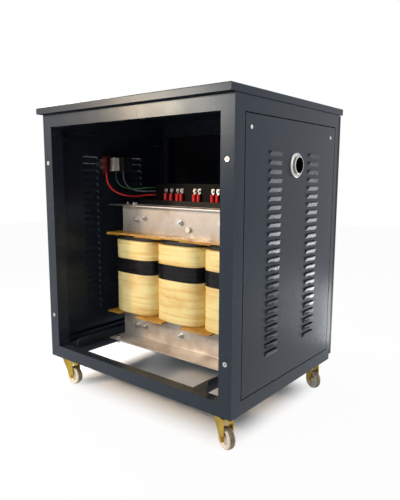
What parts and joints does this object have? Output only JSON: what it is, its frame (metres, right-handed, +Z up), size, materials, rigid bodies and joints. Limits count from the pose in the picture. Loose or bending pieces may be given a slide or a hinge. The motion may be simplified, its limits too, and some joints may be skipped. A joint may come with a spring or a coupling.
{
  "type": "dry type transformer",
  "caption": "Three-phase dry type transformer in an open-fronted, louvred sheet steel cabinet on swivel casters.",
  "frame": {"origin": "on the floor under the middle of the cabinet", "axes": "+Z up, -Y out of the open front, +X to the right of someone facing the front"},
  "size_m": [0.7985, 0.6328, 0.948],
  "materials": {
    "cabinet_paint": "satin",
    "clamp_paint": "satin",
    "core_steel": "semi-gloss",
    "coil_tape": "varnished",
    "band_tape": "gloss",
    "amber_board": "satin",
    "bar_steel": "brushed",
    "zinc_steel": "zinc plated",
    "yellow_zinc": "yellow zinc plated",
    "terminal_board_black": "matte",
    "tinned_copper": "tinned",
    "red_plastic": "satin",
    "dark_red_plastic": "satin",
    "white_plastic": "satin",
    "black_plastic": "satin",
    "green_plastic": "satin",
    "wheel_plastic": "satin"
  },
  "bodies": {
    "cabinet": {"bar_bolts": "zinc_steel", "barrier_board": "amber_board", "base_tray": "cabinet_paint", "black_lead": "black_plastic", "black_terminal_block": "black_plastic", "bottom_front_rail": "cabinet_paint", "bottom_left_rail": "cabinet_paint", "bottom_rear_rail": "cabinet_paint", "bottom_right_rail": "cabinet_paint", "cable_lugs": "tinned_copper", "caster_bolts": "zinc_steel", "caster_plates": "yellow_zinc", "clamp_bolts": "zinc_steel", "coil_bands": "band_tape", "coil_leads": "black_plastic", "coil_strips": "amber_board", "conduit_hub": "zinc_steel", "conduit_locknut": "zinc_steel", "cover_screws": "cabinet_paint", "foot_bolts": "zinc_steel", "front_bar": "bar_steel", "front_cover_inserts": "zinc_steel", "front_left_post": "cabinet_paint", "front_lower_clamp": "clamp_paint", "front_right_post": "cabinet_paint", "front_upper_clamp": "clamp_paint", "green_lead": "green_plastic", "laminated_core": "core_steel", "left_coil": "coil_tape", "left_side_panel": "cabinet_paint", "lug_boots": "red_plastic", "middle_coil": "coil_tape", "rear_angle": "clamp_paint", "rear_cover": "cabinet_paint", "rear_left_post": "cabinet_paint", "rear_lower_clamp": "clamp_paint", "rear_right_post": "cabinet_paint", "rear_upper_clamp": "clamp_paint", "red_lead": "red_plastic", "red_terminal_block": "dark_red_plastic", "right_coil": "coil_tape", "right_side_panel": "cabinet_paint", "terminal_board": "terminal_board_black", "terminal_rail": "zinc_steel", "terminal_studs": "zinc_steel", "thermostat": "white_plastic", "top_cover": "cabinet_paint", "top_front_rail": "cabinet_paint", "top_left_rail": "cabinet_paint", "top_rear_rail": "cabinet_paint", "top_right_rail": "cabinet_paint", "white_terminal_blocks": "white_plastic"},
    "front_left_swivel": {"front_left_fork": "yellow_zinc"},
    "front_left_roller": {"front_left_wheel": "wheel_plastic"},
    "front_right_swivel": {"front_right_fork": "yellow_zinc"},
    "front_right_roller": {"front_right_wheel": "wheel_plastic"},
    "rear_left_swivel": {"rear_left_fork": "yellow_zinc"},
    "rear_left_roller": {"rear_left_wheel": "wheel_plastic"},
    "rear_right_swivel": {"rear_right_fork": "yellow_zinc"},
    "rear_right_roller": {"rear_right_wheel": "wheel_plastic"}
  },
  "joints": [
    {"name": "front_left_swivel_joint", "type": "hinge", "parent": "cabinet", "child": "front_left_swivel", "pos_m": [-0.336, -0.259, 0.086], "axis": [0, 0, 1], "continuous": true},
    {"name": "front_left_wheel_joint", "type": "hinge", "parent": "front_left_swivel", "child": "front_left_roller", "pos_m": [-0.31201, -0.25816, 0.031], "axis": [-0.0349, 0.9994, 0], "continuous": true},
    {"name": "front_right_swivel_joint", "type": "hinge", "parent": "cabinet", "child": "front_right_swivel", "pos_m": [0.336, -0.259, 0.086], "axis": [0, 0, 1], "continuous": true},
    {"name": "front_right_wheel_joint", "type": "hinge", "parent": "front_right_swivel", "child": "front_right_roller", "pos_m": [0.35841, -0.2676, 0.031], "axis": [0.3584, 0.9336, 0], "continuous": true},
    {"name": "rear_left_swivel_joint", "type": "hinge", "parent": "cabinet", "child": "rear_left_swivel", "pos_m": [-0.336, 0.259, 0.086], "axis": [0, 0, 1], "continuous": true},
    {"name": "rear_left_wheel_joint", "type": "hinge", "parent": "rear_left_swivel", "child": "rear_left_roller", "pos_m": [-0.35855, 0.25079, 0.031], "axis": [0.342, -0.9397, 0], "continuous": true},
    {"name": "rear_right_swivel_joint", "type": "hinge", "parent": "cabinet", "child": "rear_right_swivel", "pos_m": [0.336, 0.259, 0.086], "axis": [0, 0, 1], "continuous": true},
    {"name": "rear_right_wheel_joint", "type": "hinge", "parent": "rear_right_swivel", "child": "rear_right_roller", "pos_m": [0.35719, 0.24773, 0.031], "axis": [0.4695, 0.8829, 0], "continuous": true}
  ]
}
